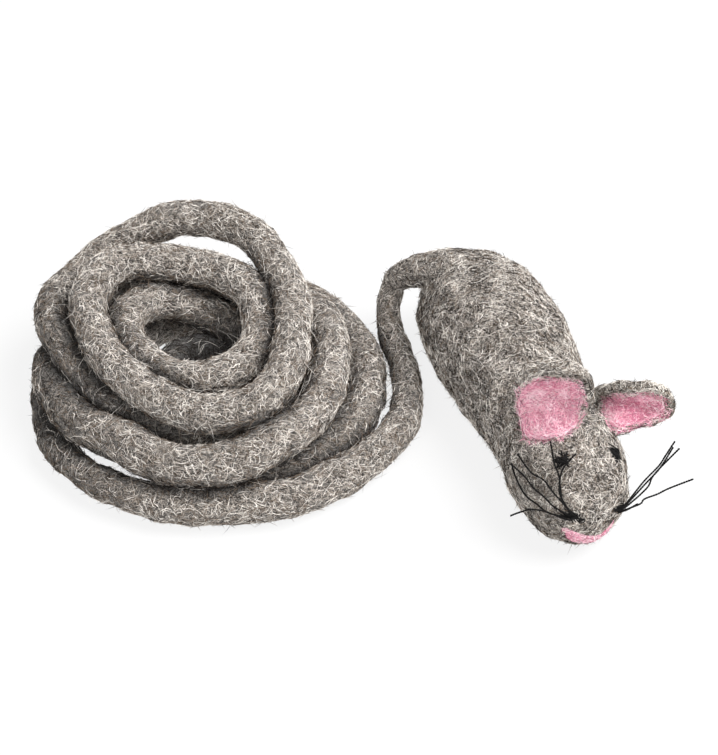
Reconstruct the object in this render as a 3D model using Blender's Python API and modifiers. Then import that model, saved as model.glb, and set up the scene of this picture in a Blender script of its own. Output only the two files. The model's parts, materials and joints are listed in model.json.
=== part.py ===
"""Felted wool mouse with a long felt-rope tail, as an assembly of separate closed solids.

The tables below are in millimetres, in a frame whose Y axis runs along the mouse's back; at() turns a point of
that frame into metres and moves the middle of the mouse's footprint to the origin. The mouse faces -Y, its own
left is +X, and it stands on z = 0.
"""
import math

import bmesh
import bpy
from mathutils import Matrix, Vector
from mathutils.bvhtree import BVHTree

MM = 0.001
GAP = 0.3  # clearance kept between pieces that touch on the real toy
FOOTPRINT_MIDDLE = (4.6, 5.1)  # of the mouse without its tail, in the tables' frame

# Body: (distance from the rump, half width, underside, back) at each station along the spine.
RUMP_Y = 70.5
BODY_LENGTH = 136.5
STATIONS = (
    (0.0, 3.0, 14.0, 26.0),
    (3.0, 10.5, 8.0, 34.0),
    (9.0, 17.5, 3.0, 41.0),
    (20.0, 24.3, -0.5, 46.3),
    (36.0, 27.2, -1.3, 47.8),
    (54.0, 26.2, -1.3, 47.2),
    (70.0, 23.6, -1.3, 45.2),
    (84.0, 21.4, -1.3, 42.8),
    (96.0, 21.0, -1.3, 41.0),
    (107.0, 21.9, -1.0, 40.0),
    (117.0, 21.8, -0.5, 37.0),
    (125.0, 18.8, 1.0, 32.5),
    (131.0, 14.5, 3.0, 28.0),
    (135.5, 8.0, 7.0, 22.5),
    (BODY_LENGTH, 3.0, 12.0, 18.0),
)
SPINE_X = 0.0
SPINE_Z = 20.0
NECK = 60.0  # where the head starts to turn towards the mouse's right
HEAD_SHIFT = 3.1
RING_POINTS = 16
RING_POWER = 2 / 2.15  # a little squarer than an ellipse
CAGE_SWELL = 1.025  # makes up for the pull of the subdivision
FELT = 3.5  # thickness of the felt skin
CORE_INSET = 4.9
FACE_ROLL = math.radians(12.5)  # the face sits turned about the spine, towards the mouse's left

# Face
EYE_Y, EYE_ANGLE, EYE_RADIUS, EYE_RISE = -47.8, math.radians(36.5), 2.3, 1.2
MUZZLE_Y, MUZZLE_ANGLE = -62.6, math.radians(80.0)
MOUTH_X, MOUTH_Z, MOUTH_HALF, MOUTH_BAND, MOUTH_RISE = -3.4, 10.8, 10.3, 2.6, 1.0
MOUTH_SMILE = 6.4
ANCHOR_RADIUS = 0.9
STITCH_HALF, STITCH_BAND, STITCH_RISE = 3.4, 1.2, 1.3
THREAD_RADIUS = 0.25

# Whiskers: root, middle and tip of each thread.
WHISKERS_RIGHT = (
    ((-12.0, -61.5, 26.6), (-13.2, -53.5, 34.4), (-11.1, -41.5, 41.0)),
    ((-11.0, -61.6, 27.2), (-12.0, -54.0, 35.4), (-3.8, -48.9, 41.2)),
    ((-13.6, -61.2, 26.4), (-18.2, -52.5, 32.8), (-22.4, -37.8, 35.6)),
    ((-14.4, -61.2, 25.2), (-20.8, -53.0, 30.4), (-25.0, -38.0, 32.2)),
    ((-15.0, -61.4, 23.8), (-23.4, -53.5, 26.6), (-26.2, -38.6, 30.0)),
    ((-15.2, -61.8, 22.4), (-23.2, -57.8, 25.0), (-30.4, -51.6, 20.6)),
)
WHISKERS_LEFT = (
    ((11.6, -62.4, 21.6), (22.0, -57.0, 27.4), (34.6, -50.6, 33.2)),
    ((12.4, -62.4, 20.6), (22.6, -58.6, 26.2), (32.8, -54.2, 34.8)),
    ((12.6, -63.2, 19.6), (22.8, -60.6, 26.6), (33.2, -57.2, 37.4)),
    ((12.4, -63.6, 18.4), (23.6, -65.2, 24.0), (34.8, -67.4, 30.0)),
    ((11.8, -63.8, 17.2), (13.4, -65.0, 18.0), (15.0, -66.4, 19.6)),
)
WHISKER_POINTS = 7

# Ears: a point near the foot on the head, the direction up the ear, the direction that the hollow faces, half the
# width, the height.
EARS = {
    "right": ((-7.0, -39.5, 40.0), (-0.03, 0.34, 0.94), (-0.36, -0.90, 0.32), 14.2, 26.0),
    "left": ((16.2, -39.0, 34.4), (0.95, -0.10, 0.28), (-0.12, -0.96, 0.16), 12.8, 23.6),
}
# share of the height, share of the half width
EAR_OUTLINE = ((0.0, 0.36), (0.14, 0.60), (0.32, 0.88), (0.52, 1.0), (0.72, 0.97), (0.88, 0.74), (1.0, 0.30))
EAR_ACROSS = 7
EAR_THICK, EAR_CUP = 3.0, 3.2
EAR_STAND_OFF = 2.5  # hinge line to the skin of the head
LINING_THICK, LINING_SHARE, LINING_FORWARD = 1.2, 0.80, 2.9

# Tail: the root grows out of the rump, the free rope runs down to the ground and into the coil.
TAIL_HOLE = 6.0
TAIL_ROOT = ((-12.0, 58.4, 33.1), (-16.4, 64.4, 31.0), (-25.2, 71.5, 23.0))
TAIL_ROOT_RADIUS = 5.6
TAIL_PIVOT = TAIL_ROOT[-1]
PIVOT_BALL = 6.4
ROPE_RADIUS = 7.0
TAIL_ROUTE = (
    (-28.6, 67.8, 17.4),
    (-31.0, 63.0, 12.0),
    (-32.0, 56.6, 8.4),
    (-32.2, 49.0, 7.3),
    (-33.8, 38.0, 7.3),
    (-36.8, 27.0, 7.3),
    (-41.2, 17.0, 7.3),
    (-46.6, 10.0, 7.3),
)
TAIL_STEPS_PER_POINT = 3
COIL_CENTRE = (-112.0, 58.0)
COIL_OUTER, COIL_INNER, COIL_HEIGHT, COIL_ROUND = 72.0, 20.0, 52.0, 12.0
COIL_SEGMENTS = 48

COLOURS = {
    "grey_felt": ((0.21, 0.19, 0.17, 1.0), 0.95),
    "pink_felt": ((0.70, 0.30, 0.38, 1.0), 0.92),
    "core_wool": ((0.50, 0.47, 0.42, 1.0), 0.95),
    "black_thread": ((0.012, 0.012, 0.012, 1.0), 0.70),
}


def at(x, y, z):
    """A point of the tables' frame, in metres from the part's origin."""
    return Vector(((x - FOOTPRINT_MIDDLE[0]) * MM, (y - FOOTPRINT_MIDDLE[1]) * MM, z * MM))


def clear_scene():
    for thing in list(bpy.data.objects):
        bpy.data.objects.remove(thing)


def new_collection(name):
    group = bpy.data.collections.new(name)
    bpy.context.scene.collection.children.link(group)
    return group


def material(node, kind):
    colour, rough = COLOURS[kind]
    made = bpy.data.materials.new(f"{node}_{kind}")
    made.use_nodes = True
    shader = made.node_tree.nodes["Principled BSDF"]
    shader.inputs["Base Color"].default_value = colour
    shader.inputs["Roughness"].default_value = rough
    shader.inputs["Metallic"].default_value = 0.0
    return made


def add(name, data, kind, group):
    """A named object for one sub-part, with its own material."""
    piece = bpy.data.objects.new(name, data)
    group.objects.link(piece)
    if kind:
        data.materials.append(material(name, kind))
    if isinstance(data, bpy.types.Mesh):
        data.shade_smooth()
    return piece


def mesh_from(name, rings, cap_start, cap_end, closed_rings=True):
    """A mesh lofted through rings of points; a cap point closes an end with a fan."""
    bm = bmesh.new()
    loops = [[bm.verts.new(point) for point in ring] for ring in rings]
    count = len(loops[0])
    last = count if closed_rings else count - 1
    for one, two in zip(loops, loops[1:]):
        for k in range(last):
            nxt = (k + 1) % count
            bm.faces.new((one[k], one[nxt], two[nxt], two[k]))
    for loop, cap in ((loops[0], cap_start), (loops[-1], cap_end)):
        if cap is not None:
            tip = bm.verts.new(cap)
            for k in range(count):
                bm.faces.new((loop[k], loop[(k + 1) % count], tip))
    bmesh.ops.recalc_face_normals(bm, faces=bm.faces)
    data = bpy.data.meshes.new(name)
    bm.to_mesh(data)
    bm.free()
    return data


def subdivide(piece, levels):
    smooth = piece.modifiers.new("Soft form", "SUBSURF")
    smooth.levels = levels
    smooth.render_levels = levels


def thicken(piece, thickness, offset):
    wall = piece.modifiers.new("Wall", "SOLIDIFY")
    wall.thickness = thickness * MM
    wall.offset = offset


def cut(piece, cutter):
    boolean = piece.modifiers.new("Cut " + cutter.name, "BOOLEAN")
    boolean.operation = "DIFFERENCE"
    boolean.object = cutter


def cutter_object(name, data, group):
    tool = bpy.data.objects.new(name, data)
    group.objects.link(tool)
    tool.hide_render = True
    tool.display_type = "WIRE"
    return tool


# ---------------------------------------------------------------- body


def spine_x(along):
    past = max(0.0, along - NECK) / (BODY_LENGTH - NECK)
    return SPINE_X - HEAD_SHIFT * past * past


def body_ring(along, half_width, low, high, inset):
    middle, half_height = (low + high) / 2, (high - low) / 2
    ring = []
    for k in range(RING_POINTS):
        turn = 2 * math.pi * k / RING_POINTS
        c, s = math.cos(turn), math.sin(turn)
        across = math.copysign(abs(c) ** RING_POWER, c) * (half_width * CAGE_SWELL - inset)
        up = math.copysign(abs(s) ** RING_POWER, s) * (half_height * CAGE_SWELL - inset)
        ring.append(at(spine_x(along) + across, RUMP_Y - along, middle + up))
    return ring


def body_cage(name, inset):
    """The body's outer form, or the same form shrunk by an inset all round."""
    rings = []
    for along, half_width, low, high in STATIONS:
        if min(half_width, (high - low) / 2) < inset + 2.0:
            continue
        squeezed = BODY_LENGTH / 2 + (along - BODY_LENGTH / 2) * (1 - 2 * inset / BODY_LENGTH)
        rings.append(body_ring(squeezed, half_width, low, high, inset))
    ends = []
    for ring, step in ((rings[0], 1.0), (rings[-1], -1.0)):
        middle = sum(ring, Vector()) / len(ring)
        ends.append(middle + Vector((0.0, step * MM, 0.0)))
    return mesh_from(name, rings, ends[0], ends[1])


def skin_tree(body):
    """The body's evaluated outer surface, for laying pieces on it."""
    graph = bpy.context.evaluated_depsgraph_get()
    evaluated = body.evaluated_get(graph)
    return BVHTree.FromObject(evaluated, graph)


def skin_at(tree, y, angle):
    """Where the skin lies at a turn of angle from the face's own upright, seen from the spine."""
    start = at(spine_x(RUMP_Y - y), y, SPINE_Z)
    turn = angle + FACE_ROLL
    point, normal, _, _ = tree.ray_cast(start, Vector((math.sin(turn), 0.0, math.cos(turn))))
    return point, normal if normal.dot(point - start) > 0 else -normal


def make_patch(name, tree, centre, normal, along, half, band, rise, smile, kind, group):
    """A raised patch that follows the skin: an oval, bent to a crescent where smile isn't zero."""
    along = (along - normal * along.dot(normal)).normalized()
    side = normal.cross(along)
    lower, upper = [], []
    for share in (0.35, 0.70, 0.92, 1.0):
        low_ring, high_ring = [], []
        for k in range(16):
            turn = 2 * math.pi * k / 16
            u = half * share * math.cos(turn)
            v = band * share * math.sin(turn) + smile * (u / half) ** 2
            start = centre + (along * u + side * v + normal * 12.0) * MM
            hit, _, _, _ = tree.ray_cast(start, -normal)
            low_ring.append(hit + normal * GAP * MM)
            high_ring.append(hit + normal * (GAP + 0.25 + (rise - 0.25) * (1 - share**3)) * MM)
        lower.append(low_ring)
        upper.append(high_ring)
    middle = tree.ray_cast(centre + normal * 12.0 * MM, -normal)[0]
    rings = upper + lower[::-1]
    caps = middle + normal * (GAP + rise) * MM, middle + normal * GAP * MM
    return add(name, mesh_from(name, rings, caps[0], caps[1]), kind, group)


# ---------------------------------------------------------------- tubes


def smooth_route(points, steps):
    """Points along one smooth curve (Catmull-Rom) through the route's own points."""
    points = [Vector(p) for p in points]
    padded = [points[0] * 2 - points[1]] + points + [points[-1] * 2 - points[-2]]
    out = []
    for a, b, c, d in zip(padded, padded[1:], padded[2:], padded[3:]):
        for k in range(steps):
            t = k / steps
            out.append(
                (b * 2 + (c - a) * t + (a * 2 - b * 5 + c * 4 - d) * t**2 + (b * 3 - a - c * 3 + d) * t**3) / 2
            )
    return out + [points[-1]]


def tube(name, points, radius, kind, group):
    """A round tube of the given radius along points of the tables' frame."""
    curve = bpy.data.curves.new(name, "CURVE")
    curve.dimensions = "3D"
    curve.bevel_depth = radius * MM
    curve.bevel_resolution = 2
    curve.use_fill_caps = True
    spline = curve.splines.new("POLY")
    spline.points.add(len(points) - 1)
    for index, point in enumerate(points):
        spline.points[index].co = (*at(*point), 1.0)
    return add(name, curve, kind, group)


def as_mesh(piece):
    """Turns a curve object into a welded mesh object of the same name."""
    graph = bpy.context.evaluated_depsgraph_get()
    data = bpy.data.meshes.new_from_object(piece.evaluated_get(graph))
    bm = bmesh.new()
    bm.from_mesh(data)
    bmesh.ops.remove_doubles(bm, verts=bm.verts, dist=0.00001)
    bmesh.ops.recalc_face_normals(bm, faces=bm.faces)
    bm.to_mesh(data)
    bm.free()
    name, group, place = piece.name, piece.users_collection[0], piece.matrix_world.copy()
    bpy.data.objects.remove(piece)
    made = bpy.data.objects.new(name, data)
    made.matrix_world = place
    group.objects.link(made)
    data.shade_smooth()
    return made


# ---------------------------------------------------------------- ears


def ear_surface(half_width, height, share, forward):
    """Rows of points across the ear, from foot to tip: a shallow cup that opens towards -Y."""
    rows = []
    for up, wide in EAR_OUTLINE:
        row = []
        for k in range(EAR_ACROSS):
            across = 2 * k / (EAR_ACROSS - 1) - 1
            x = across * wide * half_width * share
            z = height * (0.5 + (up - 0.5) * share) if share < 1 else height * up
            depth = EAR_CUP * math.sin(math.pi * min(1.0, z / height)) * (1 - (x / half_width) ** 2)
            row.append(Vector((x, depth - forward, z)) * MM)
        rows.append(row)
    return rows


def build_ear(side, tree, parts):
    foot, up, facing, half_width, height = EARS[side]
    up, facing = Vector(up).normalized(), Vector(facing)
    facing = (facing - up * facing.dot(up)).normalized()
    across = up.cross(facing)
    near, normal, _, _ = tree.find_nearest(at(*foot))
    if normal.dot(near - at(0.0, foot[1], SPINE_Z)) < 0:
        normal = -normal
    hinge = bpy.data.objects.new(f"ear_{side}_hinge", None)
    hinge.empty_display_size = 0.01
    parts.objects.link(hinge)
    frame = Matrix((across, -facing, up)).transposed().to_4x4()
    frame.translation = near + normal * EAR_STAND_OFF * MM
    hinge.matrix_world = frame
    felt = add(
        f"ear_felt_{side}",
        mesh_from(f"ear_felt_{side}", ear_surface(half_width, height, 1.0, 0.0), None, None, False),
        "grey_felt",
        parts,
    )
    lining_rows = ear_surface(half_width, height, LINING_SHARE, LINING_FORWARD)
    lining = add(
        f"ear_lining_{side}",
        mesh_from(f"ear_lining_{side}", lining_rows, None, None, False),
        "pink_felt",
        parts,
    )
    for piece, thickness in ((felt, EAR_THICK), (lining, LINING_THICK)):
        piece.parent = hinge
        subdivide(piece, 1)
        thicken(piece, thickness, 0.0)


# ---------------------------------------------------------------- tail coil


def build_coil(parts):
    """The outer form of the coiled rope: a turned ring with rounded edges."""
    corner = []
    for k in range(5):
        turn = math.pi / 2 * k / 4
        corner.append((math.sin(turn), math.cos(turn)))
    profile = []
    top, wall = COIL_HEIGHT - COIL_ROUND, COIL_OUTER - COIL_ROUND
    for s, c in corner:
        profile.append((wall + COIL_ROUND * s, top + COIL_ROUND * c))
    for s, c in reversed(corner):
        profile.append((wall + COIL_ROUND * s, COIL_ROUND - COIL_ROUND * c))
    profile.append((COIL_INNER, 0.0))
    profile.append((COIL_INNER, COIL_HEIGHT))
    data = bpy.data.meshes.new("tail_coil")
    edges = [(k, (k + 1) % len(profile)) for k in range(len(profile))]
    data.from_pydata([(r * MM, 0.0, z * MM) for r, z in profile], edges, [])
    ring = add("tail_coil", data, "grey_felt", parts)
    ring.location = at(*COIL_CENTRE, 0.0)
    turned = ring.modifiers.new("Turned", "SCREW")
    turned.steps = COIL_SEGMENTS
    turned.render_steps = COIL_SEGMENTS
    turned.use_merge_vertices = True
    turned.merge_threshold = 0.00005
    return ring


def build():
    clear_scene()
    parts = new_collection("felt_mouse")
    tools = new_collection("cutters")

    body = add("body_felt", body_cage("body_felt", 0.0), "grey_felt", parts)
    subdivide(body, 1)
    skin = skin_tree(body)
    thicken(body, FELT, -1.0)
    core = add("wool_core", body_cage("wool_core", CORE_INSET), "core_wool", parts)
    subdivide(core, 1)

    floor = bpy.data.meshes.new("belly_cutter")
    bm = bmesh.new()
    bmesh.ops.create_cube(bm, size=1.0)
    bmesh.ops.transform(bm, matrix=Matrix.Diagonal((0.2, 0.3, 0.02, 1.0)), verts=bm.verts)
    bm.to_mesh(floor)
    bm.free()
    belly = cutter_object("belly_cutter", floor, tools)
    belly.location = (0.0, 0.0, -0.01)
    cut(body, belly)

    # whisker threads run through a channel in the muzzle
    ends = [skin_at(skin, MUZZLE_Y, side * MUZZLE_ANGLE)[0] for side in (-1, 1)]
    run = ends[1] - ends[0]
    for name, radius, reach, kind in (
        ("whisker_channel", ANCHOR_RADIUS + GAP, 6.0, None),
        ("whisker_anchor", ANCHOR_RADIUS, -1.3, "black_thread"),
    ):
        data = bpy.data.meshes.new(name)
        bm = bmesh.new()
        bmesh.ops.create_cone(
            bm, segments=12, cap_ends=True, radius1=radius * MM, radius2=radius * MM,
            depth=run.length + 2 * reach * MM,
        )
        bm.to_mesh(data)
        bm.free()
        rod = add(name, data, kind, parts) if kind else cutter_object(name, data, tools)
        rod.location = (ends[0] + ends[1]) / 2
        rod.rotation_euler = run.to_track_quat("Z", "Y").to_euler()
        if not kind:
            cut(body, rod)
            cut(core, rod)

    for side, sign in (("right", -1), ("left", 1)):
        point, normal = skin_at(skin, EYE_Y, sign * EYE_ANGLE)
        make_patch(
            f"eye_{side}", skin, point, normal, Vector((0.0, 1.0, 0.0)),
            EYE_RADIUS, EYE_RADIUS, EYE_RISE, 0.0, "black_thread", parts,
        )
        point, normal = skin_at(skin, MUZZLE_Y, sign * MUZZLE_ANGLE)
        make_patch(
            f"whisker_stitch_{side}", skin, point, normal, Vector((0.0, 1.0, 0.25)),
            STITCH_HALF, STITCH_BAND, STITCH_RISE, 0.0, "black_thread", parts,
        )
    lip_start = at(MOUTH_X, -100.0, MOUTH_Z)
    lip, _, _, _ = skin.ray_cast(lip_start, Vector((0.0, 1.0, 0.0)))
    make_patch(
        "mouth_patch", skin, lip, Vector((-0.05, -0.98, -0.18)).normalized(), Vector((-1.0, 0.0, 0.0)),
        MOUTH_HALF, MOUTH_BAND, MOUTH_RISE, MOUTH_SMILE, "pink_felt", parts,
    )

    for side, threads in (("right", WHISKERS_RIGHT), ("left", WHISKERS_LEFT)):
        for index, (root, middle, tip) in enumerate(threads, 1):
            root, middle, tip = Vector(root), Vector(middle), Vector(tip)
            handle = middle * 2 - (root + tip) / 2
            points = []
            for k in range(WHISKER_POINTS):
                t = k / (WHISKER_POINTS - 1)
                points.append(root * (1 - t) ** 2 + handle * 2 * t * (1 - t) + tip * t**2)
            tube(f"whisker_{side}_{index}", points, THREAD_RADIUS, "black_thread", parts)

    for side in EARS:
        build_ear(side, skin, parts)

    # tail: bored seat in the rump, root, pivot ball, free rope, coil
    start, direction = Vector(TAIL_ROOT[0]), (Vector(TAIL_ROOT[1]) - Vector(TAIL_ROOT[0])).normalized()
    seat = tube("tail_seat", [start - direction * 0.3, start + direction * 14.0], TAIL_HOLE, None, tools)
    seat = as_mesh(seat)
    seat.hide_render = True
    seat.display_type = "WIRE"
    cut(body, seat)
    root_line = smooth_route(TAIL_ROOT, 6)
    root = as_mesh(tube("tail_root", root_line, TAIL_ROOT_RADIUS, None, parts))
    root.data.materials.append(material("tail_root", "grey_felt"))
    ball = bpy.data.meshes.new("pivot_ball")
    bm = bmesh.new()
    bmesh.ops.create_uvsphere(bm, u_segments=20, v_segments=12, radius=PIVOT_BALL * MM)
    bm.to_mesh(ball)
    bm.free()
    ball_tool = cutter_object("pivot_ball", ball, tools)
    ball_tool.location = at(*TAIL_PIVOT)
    join = root.modifiers.new("Pivot end", "BOOLEAN")
    join.operation = "UNION"
    join.object = ball_tool

    swing = bpy.data.objects.new("tail_swing_axis", None)
    swing.location = at(*TAIL_PIVOT)
    parts.objects.link(swing)
    route = smooth_route(TAIL_ROUTE, TAIL_STEPS_PER_POINT)
    rope = tube("tail_free", route, ROPE_RADIUS, "grey_felt", parts)
    for piece in (rope, build_coil(parts)):
        piece.parent = swing
        piece.matrix_parent_inverse = Matrix.Translation(-at(*TAIL_PIVOT))


build()
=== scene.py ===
"""Looks of the felted wool mouse and its coiled rope tail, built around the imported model.

The tables are in millimetres, in the same frame as the part's own tables: at() turns them into metres from
the part's origin. The mouse faces -Y, its own left is +X, and it rests on z = 0.
"""
import json
import math

import bmesh
import bpy
import numpy as np
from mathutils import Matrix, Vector
from mathutils.bvhtree import BVHTree


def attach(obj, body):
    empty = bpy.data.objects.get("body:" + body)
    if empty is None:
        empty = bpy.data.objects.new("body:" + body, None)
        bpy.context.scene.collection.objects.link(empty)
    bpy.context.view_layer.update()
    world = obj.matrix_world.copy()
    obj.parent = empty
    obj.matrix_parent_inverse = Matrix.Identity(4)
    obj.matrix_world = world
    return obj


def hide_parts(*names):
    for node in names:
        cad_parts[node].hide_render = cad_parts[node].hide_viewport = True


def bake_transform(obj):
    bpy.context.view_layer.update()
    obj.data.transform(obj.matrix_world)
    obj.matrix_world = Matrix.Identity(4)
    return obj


MM = 0.001
FOOTPRINT_MIDDLE = np.array((4.6, 5.1, 0.0))

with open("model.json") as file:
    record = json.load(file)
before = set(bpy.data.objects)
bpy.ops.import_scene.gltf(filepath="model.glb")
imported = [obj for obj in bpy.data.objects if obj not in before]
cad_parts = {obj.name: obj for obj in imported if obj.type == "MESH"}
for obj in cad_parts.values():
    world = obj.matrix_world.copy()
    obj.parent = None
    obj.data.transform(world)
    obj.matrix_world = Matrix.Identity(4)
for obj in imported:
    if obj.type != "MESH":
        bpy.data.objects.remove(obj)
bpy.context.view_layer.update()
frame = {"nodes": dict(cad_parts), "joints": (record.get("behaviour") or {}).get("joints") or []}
joints = {joint["name"]: joint for joint in frame["joints"]}


def at(points):
    """Points of the tables' frame, in metres from the part's origin."""
    return (np.asarray(points, float) - FOOTPRINT_MIDDLE) * MM


# ---------- camera

CAMERA_TARGET = (-54.5, 34.5, 15.0)
CAMERA_AZIMUTH, CAMERA_ELEVATION = math.radians(-21.0), math.radians(47.0)
CAMERA_DISTANCE = 0.645
CAMERA_LENS, CAMERA_SENSOR = 79.15, 36.0


def make_camera():
    data = bpy.data.cameras.new("camera")
    data.lens, data.sensor_width = CAMERA_LENS, CAMERA_SENSOR
    data.clip_start, data.clip_end = 0.01, 10.0
    camera = bpy.data.objects.new("camera", data)
    bpy.context.scene.collection.objects.link(camera)
    flat = math.cos(CAMERA_ELEVATION)
    back = Vector(
        (math.sin(CAMERA_AZIMUTH) * flat, -math.cos(CAMERA_AZIMUTH) * flat, math.sin(CAMERA_ELEVATION))
    )
    camera.location = Vector(at(CAMERA_TARGET)) + back * CAMERA_DISTANCE
    camera.rotation_mode = "QUATERNION"
    camera.rotation_quaternion = (-back).to_track_quat("-Z", "Y")
    bpy.context.scene.camera = camera


# ---------- helpers


def mesh_piece(name, vertices, faces, materials, smooth=True, face_slots=None):
    """A linked mesh object from arrays of points in metres and of faces."""
    data = bpy.data.meshes.new(name)
    data.from_pydata([tuple(v) for v in vertices], [], [tuple(int(i) for i in f) for f in faces])
    for one in materials:
        data.materials.append(one)
    if face_slots is not None:
        data.polygons.foreach_set("material_index", face_slots)
    if smooth:
        data.shade_smooth()
    data.update()
    piece = bpy.data.objects.new(name, data)
    bpy.context.scene.collection.objects.link(piece)
    return piece


def skin_tree(piece):
    """A search tree over a piece's faces."""
    return BVHTree.FromPolygons(
        [v.co for v in piece.data.vertices], [tuple(p.vertices) for p in piece.data.polygons]
    )


def unit(vectors):
    """Rows of vectors, each made one long."""
    return vectors / np.linalg.norm(vectors, axis=1)[:, None]


def lumps(points, size, seed, waves=14):
    """Smooth bumps, about -1 to 1, at the points, size metres across: a sum of waves in all directions."""
    rng = np.random.default_rng(seed)
    direction = unit(rng.normal(size=(waves, 3)))
    pitch = 2 * math.pi / (size * rng.uniform(0.7, 1.6, waves))
    phase = rng.uniform(0, 2 * math.pi, waves)
    return np.sin(points @ (direction * pitch[:, None]).T + phase).sum(axis=1) / math.sqrt(waves)


def unevenness(points, layers, seed):
    """How far felt swells, in millimetres: layers of lumps, each (height, size), with seeds in a row."""
    return sum(height * lumps(points, size, seed + k) for k, (height, size) in enumerate(layers))


def curve_between(a, b, c, d, t):
    """The smooth (Catmull-Rom) curve from b to c, at the share t of the way."""
    return (2 * b + (c - a) * t + (2 * a - 5 * b + 4 * c - d) * t**2 + (3 * b - a - 3 * c + d) * t**3) / 2


def catmull_rom(points, steps):
    """A smooth curve through the points, with this many steps between two of them."""
    points = np.asarray(points, float)
    padded = np.vstack([2 * points[0] - points[1], points, 2 * points[-1] - points[-2]])
    out = []
    for row in zip(padded, padded[1:], padded[2:], padded[3:]):
        out += [curve_between(*row, k / steps) for k in range(steps)]
    return np.array(out + [points[-1]])


def resample(points, step):
    """The same line with points about one step apart."""
    along = np.r_[0, np.cumsum(np.linalg.norm(np.diff(points, axis=0), axis=1))]
    places = np.linspace(0, along[-1], int(round(along[-1] / step)) + 1)
    return np.stack([np.interp(places, along, points[:, k]) for k in range(3)], axis=1)


def turning_frames(path):
    """Tangents and two normals at each point of a path, the normals turning as little as they can."""
    tangents = unit(np.gradient(path, axis=0))
    normal = np.cross(tangents[0], (0.0, 0.0, 1.0))
    if np.linalg.norm(normal) < 0.1:
        normal = np.cross(tangents[0], (1.0, 0.0, 0.0))
    normals = []
    for tangent in tangents:
        normal = normal - tangent * (normal @ tangent)
        normal = normal / np.linalg.norm(normal)
        normals.append(normal)
    normals = np.array(normals)
    return tangents, normals, np.cross(tangents, normals)


# A rounded end: its rings as shares of the tube's radius, and how far its rings and its tip reach
CAP_SHARES, CAP_REACH, TIP_REACH = (0.95, 0.75, 0.45), 0.9, 0.92


def ring_faces(rings, sides):
    """Quads between each ring of points and the next."""
    faces = []
    for i in range(rings - 1):
        for j in range(sides):
            n = (j + 1) % sides
            faces.append((i * sides + j, i * sides + n, (i + 1) * sides + n, (i + 1) * sides + j))
    return faces


def tube_arrays(path, radii, sides):
    """Points and faces of a closed tube along a path, its ends rounded."""
    tangents, first, second = turning_frames(path)
    radii = np.broadcast_to(radii, (len(path),)).astype(float)
    rings = [(0, -math.sqrt(1 - share**2) * radii[0] * CAP_REACH, share) for share in reversed(CAP_SHARES)]
    rings += [(k, 0.0, 1.0) for k in range(len(path))]
    rings += [(len(path) - 1, math.sqrt(1 - share**2) * radii[-1] * CAP_REACH, share) for share in CAP_SHARES]
    turn = np.linspace(0, 2 * math.pi, sides, endpoint=False)
    points = []
    for k, shift, share in rings:
        spread = np.outer(np.cos(turn), first[k]) + np.outer(np.sin(turn), second[k])
        points.append(path[k] + tangents[k] * shift + spread * radii[k] * share)
    tips = [path[:1] - tangents[:1] * radii[0] * TIP_REACH, path[-1:] + tangents[-1:] * radii[-1] * TIP_REACH]
    points = np.vstack(points + tips)
    count = len(rings)
    faces = ring_faces(count, sides)
    for j in range(sides):
        n = (j + 1) % sides
        faces.append((n, j, count * sides))
        faces.append(((count - 1) * sides + j, (count - 1) * sides + n, count * sides + 1))
    return points, faces


# ---------- materials


def finish_as(shader, **values):
    """Sets a shader's own sockets, an underscore in a name standing for a space."""
    for name, value in values.items():
        shader.inputs[name.replace("_", " ")].default_value = value


class Nodes:
    """Short names for building one material's node tree."""

    def __init__(self, name):
        self.made = bpy.data.materials.new(name)
        self.made.use_nodes = True
        self.tree = self.made.node_tree
        self.shader = self.tree.nodes["Principled BSDF"]
        self.place = self.tree.nodes.new("ShaderNodeTexCoord").outputs["Object"]

    def join(self, output, target):
        self.tree.links.new(output, target)

    def add(self, kind, inputs=(), **settings):
        node = self.tree.nodes.new(kind)
        for key, value in settings.items():
            setattr(node, key, value)
        for key, value in dict(inputs).items():
            if isinstance(value, bpy.types.NodeSocket):
                self.join(value, node.inputs[key])
            else:
                node.inputs[key].default_value = value
        return node

    def noise(self, scale, detail=2.0, rough=0.5, place=None):
        inputs = {"Vector": place or self.place, "Scale": scale, "Detail": detail, "Roughness": rough}
        return self.add("ShaderNodeTexNoise", inputs).outputs["Fac"]

    def ramp(self, value, low, high):
        """Clamped 0 to 1 between low and high."""
        inputs = {"Value": value, "From Min": low, "From Max": high, "To Min": 0.0, "To Max": 1.0}
        return self.add("ShaderNodeMapRange", inputs, interpolation_type="SMOOTHSTEP").outputs["Result"]

    def maths(self, operation, a, b):
        return self.add("ShaderNodeMath", {0: a, 1: b}, operation=operation).outputs[0]

    def mix(self, share, a, b):
        inputs = {"Factor": share, "A": a, "B": b}
        node = self.tree.nodes.new("ShaderNodeMix")
        node.data_type = "RGBA"
        for key, value in inputs.items():
            socket = next(s for s in node.inputs if s.name == key and s.enabled)
            if isinstance(value, bpy.types.NodeSocket):
                self.join(value, socket)
            else:
                socket.default_value = value
        return next(s for s in node.outputs if s.enabled)

    def bump(self, height, strength, distance):
        inputs = {"Height": height, "Strength": strength, "Distance": distance}
        self.join(self.add("ShaderNodeBump", inputs).outputs["Normal"], self.shader.inputs["Normal"])

    def streaks(self, turn, width, length, low, high, warp):
        """Fibres that all run one way: noise stretched along one turned axis, and bent a little."""
        placed = {"Vector": warp, "Rotation": turn, "Location": turn}
        turned = self.add("ShaderNodeMapping", placed).outputs[0]
        squeeze = (1 / width, 1 / width, 1 / length)
        squeezed = self.add("ShaderNodeMapping", {"Vector": turned, "Scale": squeeze})
        return self.ramp(self.noise(1.0, 1.0, 0.5, squeezed.outputs[0]), low, high)


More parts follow.
